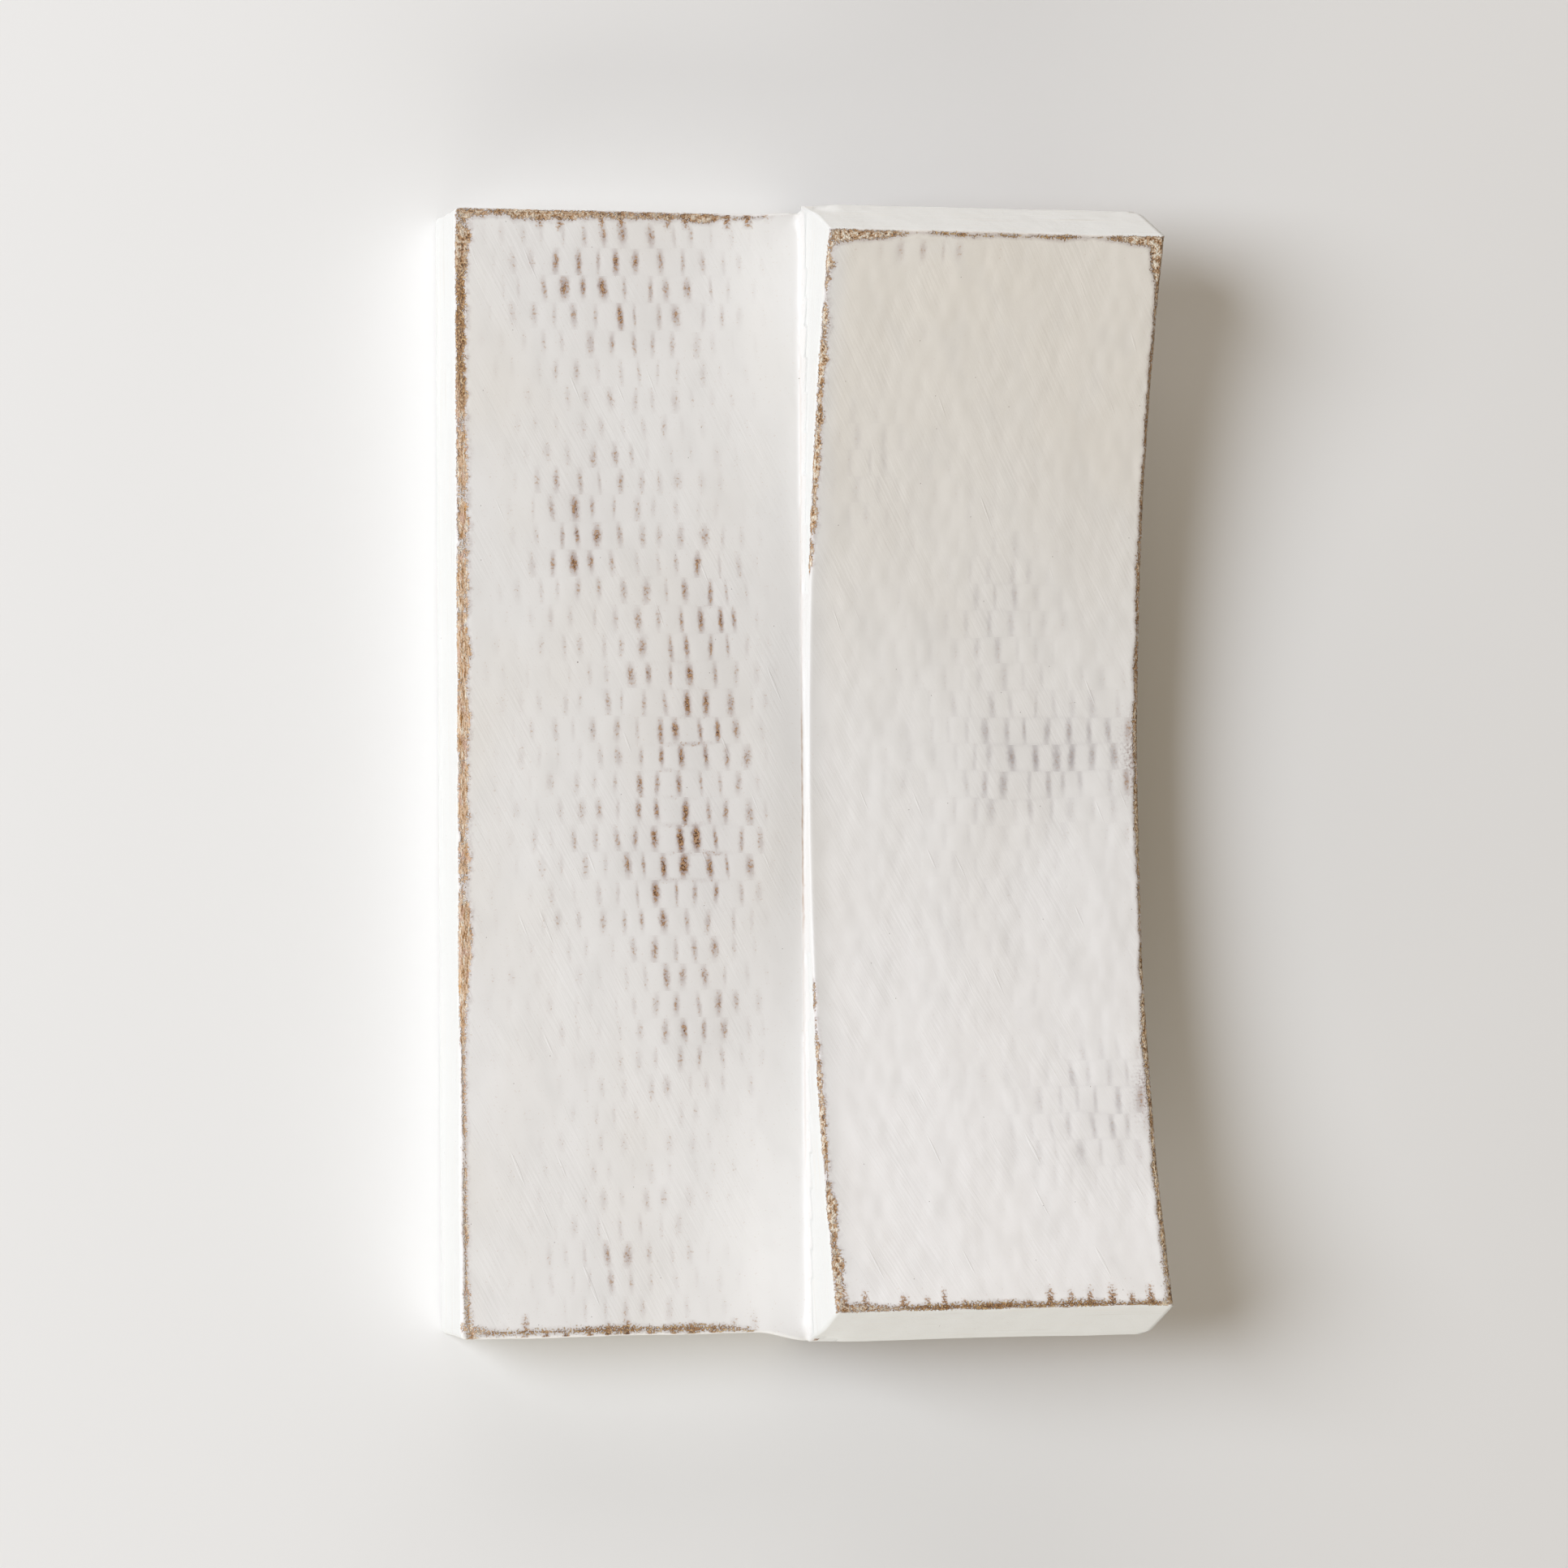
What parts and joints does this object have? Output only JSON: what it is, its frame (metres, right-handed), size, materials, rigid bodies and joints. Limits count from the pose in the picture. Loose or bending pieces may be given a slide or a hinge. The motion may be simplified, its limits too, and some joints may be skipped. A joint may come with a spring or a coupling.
{
  "type": "textured ceramic wall tile",
  "caption": "White-coated ceramic wall tile: a flat slab and a bowed slab joined side by side, with an impressed mat texture and worn brown edges.",
  "frame": {"origin": "on the back plane, in the middle of the tile's width and height", "axes": "+Z out of the face, +Y up the tile's height as it hangs, +X from the flat panel to the bowed panel; the tile lies on its back"},
  "size_m": [0.189, 0.3054, 0.054],
  "materials": {
    "coated_clay": "satin"
  },
  "bodies": {
    "root": {"wall_tile": "coated_clay"}
  },
  "joints": []
}
